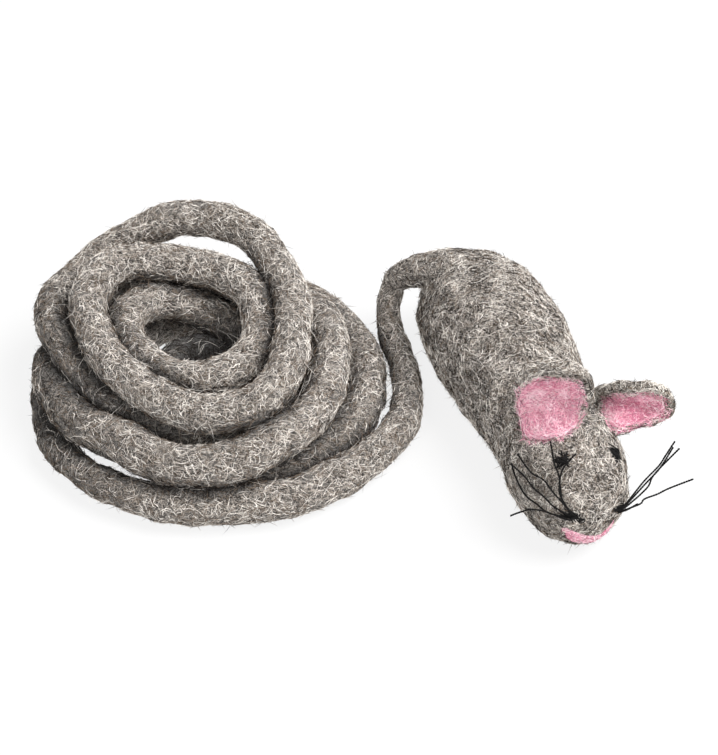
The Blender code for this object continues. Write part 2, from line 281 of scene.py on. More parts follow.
# Streaks of the felt's pattern, in metres: how wide and long, and where in the noise they begin and are full
PALE_WIDTH, DARK_WIDTH, STREAK_LENGTH = 0.00038, 0.00052, 0.0046
STREAK_EDGE = 0.545, 0.62
WANDER_SCALE, WANDER_REACH = 260.0, 0.0022  # the streaks' bends
CLOUD_EDGE = 0.36, 0.66
DARK_STREAK = 0.45  # shade of the dark streaks, as a share of the dark ground
DEEP_SHADE, DEEP_SHARE = 0.2, 0.9  # and of the painted shade where strands hem the wool in or it lies in the coil's well, and how far it goes there
FIBRE_TURNS = (
    (0.3, 0.2, 0.0), (1.4, 0.5, 0.6), (0.9, -0.8, 1.9), (2.2, 0.4, 1.1), (0.5, 1.3, 2.6), (1.7, -0.4, 0.3),
    (1.1, 1.0, 1.5), (2.6, -1.1, 0.9),
)


def felt_material(name, dark, middle, light, depth=0.5, streak_share=0.55, cloud_size=9.0):
    """Wool felt: light and dark fibres crossing all ways over a cloudy ground.

    The cloud size is in millimetres. Where a piece has an attribute of painted shade, it darkens the wool
    there: painted shade between strands and in the coil's well, and darker wool to the coil's left.
    """
    n = Nodes(name)
    wavy = {"Vector": n.place, "Scale": WANDER_SCALE, "Detail": 1.0}
    wander = n.add("ShaderNodeTexNoise", wavy).outputs["Color"]
    drift = n.add("ShaderNodeVectorMath", {0: wander, "Scale": WANDER_REACH}, operation="SCALE").outputs[0]
    warp = n.add("ShaderNodeVectorMath", {0: n.place, 1: drift}, operation="ADD").outputs[0]
    clouds = n.ramp(n.noise(1000.0 / cloud_size, 3.0, 0.6), *CLOUD_EDGE)
    colour = n.mix(clouds, (*dark, 1.0), (*middle, 1.0))
    relief = None
    for index, turn in enumerate(FIBRE_TURNS):
        pale = index % 2 == 0
        fibre = n.streaks(turn, PALE_WIDTH if pale else DARK_WIDTH, STREAK_LENGTH, *STREAK_EDGE, warp)
        tint = (*light, 1.0) if pale else tuple(DARK_STREAK * c for c in dark) + (1.0,)
        colour = n.mix(n.maths("MULTIPLY", fibre, streak_share), colour, tint)
        relief = fibre if relief is None else n.maths("ADD" if pale else "SUBTRACT", relief, fibre)
    # Painted shade: the piece's attribute darkens the wool deep between strands and down in the coil's well
    # (and, on the rope, to the coil's left)
    hemmed = n.add("ShaderNodeAttribute", attribute_name="hemmed_in").outputs["Fac"]
    deep = tuple(DEEP_SHADE * c for c in dark) + (1.0,)
    colour = n.mix(n.maths("MULTIPLY", hemmed, DEEP_SHARE), colour, deep)
    n.join(colour, n.shader.inputs["Base Color"])
    finish_as(n.shader, Roughness=0.95, Specular_IOR_Level=0.12, Sheen_Weight=0.25, Sheen_Roughness=0.6)
    n.bump(relief, depth, 0.0003)
    return n.made


def plain_fibre(name, colour):
    """Single wool fibres: one colour each, matt."""
    made = bpy.data.materials.new(name)
    made.use_nodes = True
    shader = made.node_tree.nodes["Principled BSDF"]
    finish_as(shader, Base_Color=(*colour, 1.0), Roughness=0.8, Specular_IOR_Level=0.2)
    return made


def thread_material():
    n = Nodes("black_thread")
    shade = n.mix(n.noise(1800.0, 3.0), (0.003, 0.003, 0.003, 1.0), (0.014, 0.013, 0.013, 1.0))
    n.join(shade, n.shader.inputs["Base Color"])
    finish_as(n.shader, Roughness=0.75, Specular_IOR_Level=0.12)
    n.bump(n.noise(5000.0, 2.0), 0.4, 0.0001)
    return n.made


GREY_DARK, GREY_MIDDLE, GREY_LIGHT = (0.064, 0.051, 0.041), (0.200, 0.169, 0.141), (0.57, 0.515, 0.455)
PINK_DARK, PINK_MIDDLE, PINK_LIGHT = (0.62, 0.24, 0.34), (0.88, 0.43, 0.54), (0.98, 0.74, 0.80)

GREY_FELT = felt_material("grey_felt", GREY_DARK, GREY_MIDDLE, GREY_LIGHT, 0.7, 0.72, 7.0)
ROPE_FELT = felt_material(
    "rope_felt", (0.037, 0.029, 0.022), (0.113, 0.093, 0.075), (0.50, 0.445, 0.39), 0.8, 0.70, 10.0
)
PINK_FELT = felt_material("pink_felt", PINK_DARK, PINK_MIDDLE, PINK_LIGHT, 0.4, 0.35)
CORE_WOOL = felt_material("core_wool", (0.33, 0.30, 0.26), (0.50, 0.47, 0.42), (0.70, 0.67, 0.62))
THREAD = thread_material()
GREY_FIBRES = [
    plain_fibre("fibre_pale", (0.84, 0.79, 0.73)),
    plain_fibre("fibre_light", (0.46, 0.41, 0.36)),
    plain_fibre("fibre_brown", (0.17, 0.130, 0.098)),
    plain_fibre("fibre_dark", (0.024, 0.019, 0.016)),
]
GREY_SHARES = (0.22, 0.18, 0.18, 0.42)
ROPE_SHARES = (0.135, 0.14, 0.225, 0.50)
EAR_FIBRE_SHARES = (0.36, 0.24, 0.16, 0.24)
STRAY_SHARES = (0.55, 0.25, 0.05, 0.15)
PINK_FIBRES = [
    plain_fibre("fibre_pink_pale", (0.97, 0.72, 0.78)),
    plain_fibre("fibre_pink", (0.86, 0.42, 0.53)),
    plain_fibre("fibre_rose", (0.60, 0.20, 0.30)),
]
PINK_EDGE = 0.05, 1.9  # pink wool is felted this far past the linings, in millimetres
PINK_SHARES = {"right": (0.38, 0.34, 0.28), "left": (0.24, 0.33, 0.43)}


# ---------- loose fibres


NOTHING = 1e-12  # keeps a division clear of zero
OFF_AXIS = (0.31, 0.52, 0.80)  # a direction that hardly any fibre follows


def fibre_arrays(lines, thickness):
    """Points and faces of closed three-sided spindles, one along each row of points in lines."""
    count, steps = lines.shape[:2]
    tangents = np.gradient(lines, axis=1)
    tangents /= np.linalg.norm(tangents, axis=2)[:, :, None] + NOTHING
    side = np.cross(tangents, np.array(OFF_AXIS))
    side /= np.linalg.norm(side, axis=2)[:, :, None] + NOTHING
    over = np.cross(tangents, side)
    thickness = np.broadcast_to(thickness, (count,))
    rings = []
    for k in range(1, steps - 1):
        for corner in range(3):
            turn = 2 * math.pi * corner / 3
            shift = side[:, k] * math.cos(turn) + over[:, k] * math.sin(turn)
            rings.append(lines[:, k] + shift * thickness[:, None] / 2)
    points = np.stack([lines[:, 0]] + rings + [lines[:, -1]], axis=1)
    per = points.shape[1]
    faces = []
    for corner in range(3):
        nxt = (corner + 1) % 3
        faces.append((0, 1 + nxt, 1 + corner))
        for ring in range(steps - 3):
            a, b = 1 + 3 * ring, 4 + 3 * ring
            faces.append((a + corner, a + nxt, b + nxt))
            faces.append((a + corner, b + nxt, b + corner))
        faces.append((per - 4 + corner, per - 4 + nxt, per - 1))
    faces = np.array(faces)
    everything = (np.arange(count)[:, None, None] * per + faces[None]).reshape(-1, 3)
    return points.reshape(-1, 3), everything, len(faces)


def scatter(piece, count, rng):
    """Random places on a mesh, even over its area, with the surface's normals there."""
    data = piece.data
    data.calc_loop_triangles()
    corners = np.empty(len(data.loop_triangles) * 3, np.int32)
    data.loop_triangles.foreach_get("vertices", corners)
    points = np.empty(len(data.vertices) * 3, np.float32)
    data.vertices.foreach_get("co", points)
    triangles = points.reshape(-1, 3).astype(float)[corners.reshape(-1, 3)]
    cross = np.cross(triangles[:, 1] - triangles[:, 0], triangles[:, 2] - triangles[:, 0])
    area = np.linalg.norm(cross, axis=1)
    chosen = rng.choice(len(area), count, p=area / area.sum())
    u, v = rng.random(count), rng.random(count)
    flip = u + v > 1
    u[flip], v[flip] = 1 - u[flip], 1 - v[flip]
    t = triangles[chosen]
    places = t[:, 0] + (t[:, 1] - t[:, 0]) * u[:, None] + (t[:, 2] - t[:, 0]) * v[:, None]
    return places, cross[chosen] / (area[chosen][:, None] + 1e-15)


def lay_on(tree, lines, lift):
    """Moves each point to the nearest skin, then out along the skin's normal by its lift."""
    flat = lines.reshape(-1, 3)
    out = np.empty_like(flat)
    for index, (point, height) in enumerate(zip(flat, lift.reshape(-1))):
        place, normal, _, _ = tree.find_nearest(Vector(point))
        out[index] = place + normal * height
    return out.reshape(lines.shape)


PATCH_SIZE, PATCH_SHARE = 0.011, 0.5  # the darker and the paler wool lie in patches
PAINTED_SHADE_SHARE = 3.8  # painted shade: how strongly a fibre deep between two strands or down in the coil's well is a dark one; fibres to the coil's left are made darker by it too
FIBRE_LOWEST = 0.0003
LYING_HEIGHT, ROOT_DEPTH = (0.08, 0.20), 0.08
LAID_SHARE, FIBRE_BEND = 0.45, 0.30  # the rest of the fibres stand off at one end


def fuzz(
    name, piece, count, materials, shares, seed, length=(2.8, 6.8), thick=(0.16, 0.34), lift=0.5, steps=3,
    near=None, hemmed=None,
):
    """Fibres that lie on a felted piece and stand off it here and there, as one piece of closed spindles.

    Lengths, thicknesses and the loose ends' lift are in millimetres. With near, only fibres between two
    distances from another piece's skin stay. Given a function of painted shade, the fibres it darkens are the
    dark ones: painted shade in the crevices and the coil's well, and darker wool to the coil's left.
    """
    rng = np.random.default_rng(seed)
    places, normals = scatter(piece, count, rng)
    if near is not None:
        tree, closest, farthest = near
        distance = np.array([tree.find_nearest(Vector(place))[3] for place in places])
        kept = (distance > closest * MM) & (distance < farthest * MM)
        places, normals, count = places[kept], normals[kept], int(kept.sum())
    way = unit(np.cross(normals, rng.normal(size=(count, 3))))
    bend = np.cross(normals, way) * rng.normal(0, FIBRE_BEND, count)[:, None]
    reach = rng.uniform(*length, count) * MM
    shares = np.asarray(shares)
    share = np.linspace(-0.5, 0.5, steps)
    lines = places[:, None] + way[:, None] * (share[None, :, None] * reach[:, None, None])
    lines += bend[:, None] * ((4 * share**2)[None, :, None] * reach[:, None, None])
    height = rng.uniform(*LYING_HEIGHT, (count, steps)) * MM
    loose = np.where(rng.random(count) > LAID_SHARE, rng.exponential(lift, count), 0.0) * MM
    height += loose[:, None] * np.clip(2 * share, 0, 1)[None, :] ** 1.5
    height[:, 0] = -ROOT_DEPTH * MM
    lines = lay_on(skin_tree(piece), lines, height)
    lines[:, :, 2] = np.maximum(lines[:, :, 2], FIBRE_LOWEST)
    points, faces, each = fibre_arrays(lines, rng.uniform(*thick, count) * MM)
    tone = lumps(places, PATCH_SIZE, seed + 100) * PATCH_SHARE + rng.normal(size=count)
    # Painted shade: fibres deep between strands or down in the coil's well are picked dark
    if hemmed is not None:
        tone += PAINTED_SHADE_SHARE * hemmed(places)
    rank = (np.argsort(np.argsort(tone)) + 0.5) / count
    slots = np.repeat(np.searchsorted(np.cumsum(shares / shares.sum()), rank), each).astype(np.int32)
    slots = np.minimum(slots, len(materials) - 1)
    return mesh_piece(name, points, faces, materials, False, slots)


def wool(slot, carrier, *details, **more):
    """Fibres that ride on a body, or stay fixed where they are when the carrier is (body, body, start, end).
    """
    piece = fuzz(*details, **more)
    if isinstance(carrier, str):
        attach(piece, carrier)
    else:
        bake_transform(piece)


# ---------- rope tail

COIL_CENTRE = np.array((-106.0, 56.0))
# The coil's angles are counted clockwise from this direction, seen from above
COIL_SKEW = math.radians(-21.0)
ROUTE = (
    (-25.2, 71.5, 23),
    (-28.6, 67.8, 17.4),
    (-31, 63, 12),
    (-32, 56.6, 8.4),
    (-32.2, 49, 7.3),
    (-33.8, 38, 7.3),
    (-36.8, 27, 7.3),
    (-41.2, 17, 7.5),
)
# Each turn: (angle from the turn's start, distance from the coil's centre, height of the rope's middle)
TURNS = (
    # outermost, on the floor
    (
        (17, 74.5, 7.8), (28, 71.2, 7.9), (38, 66.8, 7.9), (62, 60, 7.9), (90, 60, 7.9), (116, 62, 7.9),
        (137, 65, 7.9), (152, 66.5, 7.9), (165, 66, 7.9), (180, 64.3, 7.9), (203, 61, 7.9), (225, 58, 7.9),
        (270, 54.5, 7.9), (300, 55.5, 7.9), (314, 56.5, 7.9), (332, 59.5, 7.9), (350, 60, 7.9),
    ),
    # inside it, on the floor
    (
        (3, 59, 7.9), (18, 57.8, 7.9), (31, 56.5, 7.9), (55, 53, 7.9), (90, 43, 7.9), (135, 42, 7.9),
        (180, 44, 7.9), (225, 44, 8), (270, 42, 8.5), (300, 45, 14), (320, 48, 20), (342, 45, 22),
    ),
    # on top of the first two
    (
        (1, 44.5, 22), (19, 45.5, 22), (34, 47, 22), (50, 48, 22), (70, 50.5, 22), (88, 52.5, 21),
        (105, 52.5, 20), (123, 49.5, 19.5), (142, 51, 19), (158, 56, 19), (171, 61, 19), (225, 55, 20),
        (270, 46, 21.5), (315, 36, 21),
    ),
    # down inside at the front, then out to the left and up into the lifted arch
    (
        (0, 32, 19), (45, 32, 13), (80, 33, 13), (105, 35, 16), (124, 36, 18), (143, 40, 20), (159, 47, 22),
        (171, 54, 25), (182, 60, 26), (189, 63, 27), (195, 65.5, 28), (204, 69, 29), (213, 69, 30),
        (222, 68, 32), (228, 67, 35), (239, 63, 41), (251, 60, 45), (262, 58.5, 46), (275, 55, 46),
        (289, 49, 44), (303, 43, 41), (317, 38, 39), (328, 34.5, 37), (354, 30.8, 35.5),
    ),
    # the top turn, which crosses over the arch at the back left
    (
        (28, 32.6, 34), (53, 36.6, 33), (74, 37.2, 32), (94, 36.6, 31), (116, 34.2, 31), (142, 35.3, 32),
        (165, 40.8, 33.5), (179, 46.8, 36.5), (192, 50.5, 40), (203, 52.5, 43), (214, 52, 44.5),
        (226, 49, 44), (240, 43, 40), (256, 39, 38), (275, 36.2, 35.5), (293, 33.3, 34), (319, 25.5, 32),
        (348, 19.1, 30.5),
    ),
    # the innermost turn in sight
    (
        (28, 16.7, 30), (81, 16.6, 30), (127, 22, 30), (157, 29.4, 30.5), (181, 35, 31), (200, 38.5, 32),
        (216, 38.8, 32.5), (232, 36.5, 28.5), (250, 32.8, 22.5), (270, 28.5, 17), (295, 22.5, 13),
        (325, 18, 11.5),
    ),
    # the end of the rope, low in the middle
    (
        (0, 16.6, 11.5), (60, 18, 13), (120, 20, 13.5), (180, 21, 13), (225, 21.5, 11), (260, 20.5, 9.2),
        (300, 18, 8), (340, 13.5, 7.6),
    ),
    # its last bend, to a bare rounded end
    ((15, 9.5, 7.6), (60, 6, 7.6)),
)
TURN_STEP = 6.0  # degrees
ROPE_STEP = 4.0
# (length along the rope, its radius)
ROPE_RADII = (
    (0, 4.4), (40, 5.4), (75, 6.6), (105, 7.6), (160, 7.4), (205, 5.8), (245, 6.4), (290, 7.3), (400, 7.8),
    (900, 7.9), (1100, 7.2), (1220, 6.7), (1320, 7.2), (1700, 7.2), (2000, 6.6),
)
# Settling: rounds, points along the rope that can't press on each other, how close two strands lie as a share
# of their radii, the least distance pushed by (mm), and the shares of smoothing and of return in each round
SETTLE_ROUNDS, NOT_NEXT = 80, 7
TOUCHING, LEAST_APART, EASING, PULL_BACK = 0.97, 0.5, 0.2, 0.04
OWN_REACH = 9  # points along the rope that count as the same strand
# Where the wool is painted darker, in metres: painted shade within a crevice's width of another strand and
# down in the coil's well, and darker wool some way to the left of its middle
CREVICE, CREVICE_FALL = 0.0080, 1.5
WELL_TOP, WELL_RADIUS, WELL_FADE = 0.027, 0.034, (0.010, 0.008)
LEFT_FROM, LEFT_FADE, LEFT_SHARE = 0.040, 0.030, 0.42
BLOCK = 4000  # points measured at a time
ROPE_SIDES, ROPE_MESH_STEP = 32, 1.6
ROPE_LUMPS = (0.40, 0.020), (0.26, 0.007), (0.12, 0.0028)


def rope_radius(along):
    places, radii = np.array(ROPE_RADII, float).T
    return np.interp(along, places, radii)


def coil_line():
    """The coil's turns in the tables' frame, read from the stations by a smooth (Hermite) curve."""
    stations = [(360 * turn + angle, *row) for turn, rows in enumerate(TURNS) for angle, *row in rows]
    stations = np.array(stations, float)
    angles = np.arange(stations[0, 0], stations[-1, 0], TURN_STEP)
    lower = np.clip(np.searchsorted(stations[:, 0], angles, side="right") - 1, 0, len(stations) - 2)
    gap = stations[lower + 1, 0] - stations[lower, 0]
    t = (angles - stations[lower, 0]) / gap
    values = []
    for column in (1, 2):
        level = stations[:, column]
        slope = np.gradient(level, stations[:, 0])
        values.append(
            (2 * t**3 - 3 * t**2 + 1) * level[lower] + (t**3 - 2 * t**2 + t) * gap * slope[lower]
            + (3 * t**2 - 2 * t**3) * level[lower + 1] + (t**3 - t**2) * gap * slope[lower + 1]
        )
    turn = COIL_SKEW - np.radians(angles)
    flat = COIL_CENTRE + values[0][:, None] * np.stack([np.cos(turn), np.sin(turn)], axis=1)
    return np.column_stack([flat, values[1]])


def settle(points):
    """Pushes strands that press into each other apart, and keeps them on or above the floor."""
    radius = rope_radius(np.arange(len(points)) * ROPE_STEP)
    wanted = points.copy()
    held = len(ROUTE) * 3 - 3  # the run beside the mouse keeps its place
    one, two = np.triu_indices(len(points), k=NOT_NEXT)
    apart = TOUCHING * (radius[one] + radius[two])
    for _ in range(SETTLE_ROUNDS):
        between = points[two] - points[one]
        distance = np.linalg.norm(between, axis=1)
        near = distance < apart
        a, b = one[near], two[near]
        away = between[near] / np.maximum(distance[near], LEAST_APART)[:, None]
        push = away * (apart[near] - distance[near])[:, None] / 2
        move, count = np.zeros_like(points), np.zeros(len(points))
        np.add.at(move, a, -push)
        np.add.at(move, b, push)
        np.add.at(count, a, 1)
        np.add.at(count, b, 1)
        move /= np.maximum(count, 1)[:, None]
        move[:held] = 0
        points = points + move
        middle = points.copy()
        middle[held:-1] = (points[held - 1:-2] + points[held + 1:]) / 2
        points = points * (1 - EASING) + middle * EASING
        points = points + (wanted - points) * PULL_BACK
        points[held:, 2] = np.maximum(points[held:, 2], radius[held:])
    return points


def hemmed_in(path, radii):
    """A function of points on the rope that paints shade: 0 in the open to 1 deep between two strands or down
    in the coil, with darker wool added to the coil's left.
    """
    path, radii = path[::3], radii[::3]
    number = np.arange(len(path))

    def measure(points):
        out = np.zeros(len(points))
        for start in range(0, len(points), BLOCK):
            block = points[start:start + BLOCK]
            gap = np.linalg.norm(block[:, None] - path[None], axis=2) - radii[None]
            own = gap.argmin(axis=1)
            gap[np.abs(number[None] - own[:, None]) < OWN_REACH] = 1.0  # a metre: too far to count
            out[start:start + BLOCK] = np.clip(1 - gap.min(axis=1) / CREVICE, 0, 1) ** CREVICE_FALL
        middle = at((*COIL_CENTRE, 0.0))
        across = np.linalg.norm(points[:, :2] - middle[:2], axis=1)
        well = np.clip((WELL_TOP - points[:, 2]) / WELL_FADE[0], 0, 1)
        well *= np.clip((WELL_RADIUS - across) / WELL_FADE[1], 0, 1)
        left = np.clip((middle[0] - LEFT_FROM - points[:, 0]) / LEFT_FADE, 0, 1)
        return np.clip(np.maximum(out, well) + LEFT_SHARE * left, 0, 1)

    return measure


def make_rope():
    """The rope, and the function that paints shade on it by how hemmed in a point on it is."""
    whole = np.vstack([catmull_rom(ROUTE, 6)[:-1], coil_line()])
    line = settle(resample(whole, ROPE_STEP))
    line = resample(catmull_rom(line[::2], 5), ROPE_MESH_STEP)
    along = np.r_[0, np.cumsum(np.linalg.norm(np.diff(line, axis=0), axis=1))]
    path = at(line)
    points, faces = tube_arrays(path, rope_radius(along) * MM, ROPE_SIDES)
    inner = np.repeat(path, ROPE_SIDES, axis=0)
    capped = len(CAP_SHARES) * ROPE_SIDES
    body = slice(capped, capped + len(inner))
    outward = unit(points[body] - inner)
    swell = unevenness(points[body], ROPE_LUMPS, 11)
    points[body] += outward * swell[:, None] * MM
    points[:, 2] = np.maximum(points[:, 2], 0.0002)
    rope = mesh_piece("rope_tail", points, faces, [ROPE_FELT])
    # Painted shade stored on the rope's points: dark deep between strands, in the coil's well and to the
    # coil's left
    hemmed = hemmed_in(path, rope_radius(along) * MM)
    rope.data.attributes.new("hemmed_in", "FLOAT", "POINT").data.foreach_set("value", hemmed(points))
    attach(rope, "tail")
    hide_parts("tail_free", "tail_coil")
    return rope, hemmed


# ---------- body

BODY_CUTS = 90  # quads along each edge of the cube that is blown up into the body
SPINE_MIDDLE, SPINE_HALF = (0.0, 2.0, 20.0), 46.0
BODY_SMOOTHING, BODY_LUMPS = 14, ((0.42, 0.016), (0.25, 0.006), (0.10, 0.0026))
OUTSIDE = 0.2  # metres from the spine: far outside the body
LENGTHWISE = 0.25  # how much the lumps push along the body, compared with across it
FLOOR_FADE = 0.004  # below this height the lumps fade out, so that the belly rests flat


def cad_tree(*nodes):
    """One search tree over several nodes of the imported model."""
    points, faces = [], []
    for name in nodes:
        data = frame["nodes"][name].data
        start = len(points)
        points += [v.co.copy() for v in data.vertices]
        faces += [tuple(start + i for i in p.vertices) for p in data.polygons]
    return BVHTree.FromPolygons(points, faces)


def neighbour_mean(points, faces, rounds, strength=(0.6, -0.62)):
    """Smooths a mesh's points without shrinking it much (Taubin)."""
    faces = np.asarray(faces)
    corners = faces.shape[1]
    edges = np.vstack([faces[:, [k, (k + 1) % corners]] for k in range(corners)])
    edges = np.unique(np.sort(edges), axis=0)
    degree = np.bincount(edges.reshape(-1), minlength=len(points))[:, None]
    for _ in range(rounds):
        for share in strength:
            total = np.zeros_like(points)
            np.add.at(total, edges[:, 0], points[edges[:, 1]])
            np.add.at(total, edges[:, 1], points[edges[:, 0]])
            points = points + share * (total / degree - points)
    return points


def cube_sphere(cuts):
    """Directions and quads of a cube's grid blown up to a sphere."""
    bm = bmesh.new()
    bmesh.ops.create_cube(bm, size=2.0)
    bmesh.ops.subdivide_edges(bm, edges=bm.edges[:], cuts=cuts - 1, use_grid_fill=True)
    points = np.array([v.co for v in bm.verts])
    faces = [[v.index for v in f.verts] for f in bm.faces]
    bm.free()
    return unit(np.tan(points * math.pi / 4)), faces


def make_body():
    tree = cad_tree("body_felt", "wool_core", "whisker_anchor")
    rays, faces = cube_sphere(BODY_CUTS)
    middle = at(SPINE_MIDDLE)
    points = []
    for ray in rays:
        origin = middle + np.array((0.0, SPINE_HALF * ray[1] * MM, 0.0))
        out = Vector((ray[0], ray[1] * abs(ray[1]), ray[2])).normalized()
        points.append(tree.ray_cast(Vector(origin) + out * OUTSIDE, -out)[0])
    points = neighbour_mean(np.array(points), faces, BODY_SMOOTHING)
    outward = points - np.array((0.0, 0.0, SPINE_MIDDLE[2] * MM))
    outward[:, 1] *= LENGTHWISE
    outward = unit(outward)
    swell = unevenness(points, BODY_LUMPS, 21)
    off_floor = np.clip(points[:, 2] / FLOOR_FADE, 0, 1)
    points = points + outward * (swell * off_floor)[:, None] * MM
    points[:, 2] = np.maximum(points[:, 2], 0.0001)
    body = mesh_piece("felt_body", points, faces, [GREY_FELT])
    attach(body, "mouse")
    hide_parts("body_felt")
    return body


# ---------- tail root

# The flare of felt where the tail grows out of the rump: a point and its radius
TAIL_ROOT = (
    ((4, 44, 31), 13),
    ((-2, 52, 32), 12.6),
    ((-8.5, 59, 33), 10.6),
    ((-14, 64, 32.2), 8),
    ((-19, 68, 29.6), 6.2),
    ((-22.8, 70.4, 26.2), 5.2),
    ((-25.2, 71.5, 23), 4.7),
)
ROOT_SIDES = 40
ROOT_LUMPS = (0.40, 0.012), (0.25, 0.005), (0.10, 0.0026)
TAIL_BEND = at((-17.0, 66.5, 30.0)), at((-25.2, 71.5, 23.0))


def make_tail_root():
    rows = np.array([(*point, radius) for point, radius in TAIL_ROOT])
    path = catmull_rom(rows[:, :3], 8)
    radii = catmull_rom(np.column_stack([rows[:, 3]] * 3), 8)[:, 0]
    points, faces = tube_arrays(at(path), radii * MM, ROOT_SIDES)
    outward = unit(points - points.mean(axis=0))
    swell = unevenness(points, ROOT_LUMPS, 51)
    root = mesh_piece("felt_tail_root", points + outward * swell[:, None] * MM, faces, [GREY_FELT])
    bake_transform(root)
    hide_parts("tail_root")
    return root


# ---------- ears

# Each ear is a cupped sheet of felt. Its outline runs from the side nearer the tail, along the foot on the
# head, up the far side and back over the top; beside each point is how far out the pink lining reaches, as a
# share.
EARS = {
    "right": {
        "outline": (
            (-18, -25, 57, 0.86), (-17.5, -24.5, 48, 0.94), (-16, -26, 40, 0.97), (-15, -32, 34.5, 0.97),
            (-9.5, -38, 37, 0.95), (-2, -38.5, 38, 0.93), (3.5, -37, 40.5, 0.88), (6, -37.5, 48, 0.8),
            (5.6, -38.5, 58.5, 0.78), (4, -36, 65, 0.74), (-1.5, -33, 68.6, 0.63), (-9.5, -29.2, 69, 0.61),
            (-15.8, -27.2, 66, 0.7),
        ),
        "lean": (-0.36, -0.88, 0.32),
        "cup": 4,
        "hinge": "ear_right_flex",
        "seed": 61,
        "up": (-0.03, 0.34, 0.94),
    },
    "left": {
        "outline": (
            (18, -19, 32, 0.58), (19.8, -24.3, 39.5, 0.62), (23, -28.6, 45, 0.56), (28.6, -33.2, 47.4, 0.56),
            (33.2, -36.6, 48.4, 0.64), (36.4, -39.2, 47.2, 0.76), (38.4, -41.5, 42.4, 0.84),
            (38, -42.6, 37.2, 0.86), (34, -42.4, 34.4, 0.89), (27.4, -41.4, 33.4, 0.92),
            (21.4, -40.4, 32.6, 0.94), (17, -39, 31.2, 0.9), (15.5, -33, 29.6, 0.82), (16.5, -25, 30, 0.66),
        ),
        "lean": (-0.2, -0.8, 0.5),
        "cup": 4.5,
        "hinge": "ear_left_flex",
        "seed": 71,
        "up": (0.95, -0.1, 0.28),
    },
}
EAR_LUMPS = (0.45, 0.012), (0.28, 0.005), (0.10, 0.0026)
EAR_WALL, LINING_WALL = 4.2, 0.7
LINING_GAP, LINING_SINK = 0.1, 0.5  # how far the lining's edge stands off the ear, and its back goes in
RIPPLE, RIPPLE_SIZE = 0.25, 0.006
BEND_BELOW, BEND_ABOVE = 1.0, 6.0  # two points this far under the hinge and this far over it, along the ear's up
EAR_STEPS = 10  # points between two stations of the outline
EAR_SHARES = (0.06, 0.14, 0.24, 0.34, 0.44, 0.54, 0.63, 0.71, 0.78, 0.84, 0.89, 0.93, 0.96, 0.98, 0.995)


def closed_curve(rows, steps):
    """A smooth closed curve through the rows."""
    rows = np.asarray(rows, float)
    before, after, beyond = np.roll(rows, 1, axis=0), np.roll(rows, -1, axis=0), np.roll(rows, -2, axis=0)
    out = []
    for row in zip(before, rows, after, beyond):
        out += [curve_between(*row, k / steps) for k in range(steps)]
    return np.array(out)


class Cup:
    """The middle surface of an ear: a fan from its centre to its outline, hollowed towards the back."""

    def __init__(self, ear):
        rows = closed_curve(ear["outline"], EAR_STEPS)
        self.rim, self.pink = at(rows[:, :3]), rows[:, 3]
        self.lean = np.array(ear["lean"]) / np.linalg.norm(ear["lean"])
        self.centre = self.rim.mean(axis=0)
        self.depth = ear["cup"] * MM

    def middle(self, share):
        share = np.broadcast_to(share, (len(self.rim),))[:, None]
        return self.centre + (self.rim - self.centre) * share - self.lean * self.depth * (1 - share**2)

    def normal(self, share):
        share = np.broadcast_to(share, (len(self.rim),))
        outward = self.middle(share + 0.02) - self.middle(share - 0.02)
        around = np.roll(self.middle(share), -1, axis=0) - np.roll(self.middle(share), 1, axis=0)
        normal = unit(np.cross(outward, around))
        return normal * np.sign(normal @ self.lean)[:, None]

    def wall(self, share):
        """Half the thickness, rounded off at the rim."""
        share = np.broadcast_to(share, (len(self.rim),))
        size = np.linalg.norm(self.rim - self.centre, axis=1)
        start = 1 - EAR_WALL * MM / 2 / size
        past = np.clip((share - start) / (1 - start), 0, 1)
        return (EAR_WALL * MM / 2 * np.sqrt(1 - past**2))[:, None]

    def front(self, share):
        return self.middle(share) + self.normal(share) * self.wall(share)


def shell(front_rows, back_rows, front_tip, back_tip):
    """A closed mesh: a front and a back of rings, each from the middle outwards."""
    rings = front_rows + back_rows[::-1]
    sides = len(rings[0])
    points = np.vstack(rings + [front_tip[None], back_tip[None]])
    faces = ring_faces(len(rings), sides)
    last = (len(rings) - 1) * sides
    for j in range(sides):
        n = (j + 1) % sides
        faces.append((n, j, len(points) - 2))
        faces.append((last + j, last + n, len(points) - 1))
    return points, faces


def outward_faces(piece):
    """Turns the faces of a closed piece so that all of them face out."""
    bm = bmesh.new()
    bm.from_mesh(piece.data)
    bmesh.ops.recalc_face_normals(bm, faces=bm.faces)
    bm.to_mesh(piece.data)
    bm.free()


